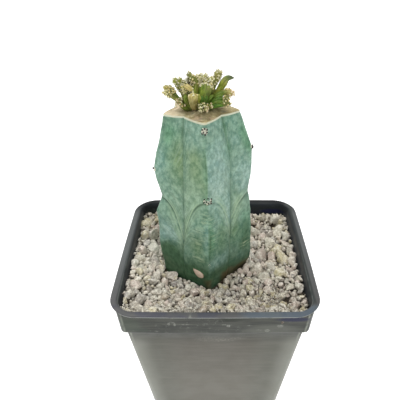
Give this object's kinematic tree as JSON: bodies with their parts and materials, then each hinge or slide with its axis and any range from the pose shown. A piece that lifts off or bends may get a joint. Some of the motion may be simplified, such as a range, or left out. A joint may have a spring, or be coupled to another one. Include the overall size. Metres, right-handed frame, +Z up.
{
  "type": "potted grafted cactus",
  "caption": "Small cactus head of woolly-tipped tubercles grafted on a tall ribbed blue-green column, in a tapered square nursery pot with a top layer of pale pumice.",
  "frame": {"origin": "centre of the pot's underside", "axes": "+Z up along the pot's axis, -Y towards the front of the pot in the picture"},
  "size_m": [0.07, 0.07, 0.1481],
  "materials": {
    "pot": "dusty dark grey plastic, lighter on the tapered body",
    "pumice_bed": "dry porous pumice, beige, pinkish and grey stones",
    "rootstock": "blue-green waxy skin with a pale bloom, tan callus on the cut top",
    "scion": "olive green tubercles with cream woolly tips"
  },
  "bodies": {
    "root": {"pot": "pot", "pumice_bed": "pumice_bed", "rootstock": "rootstock", "scion": "scion"}
  },
  "joints": []
}
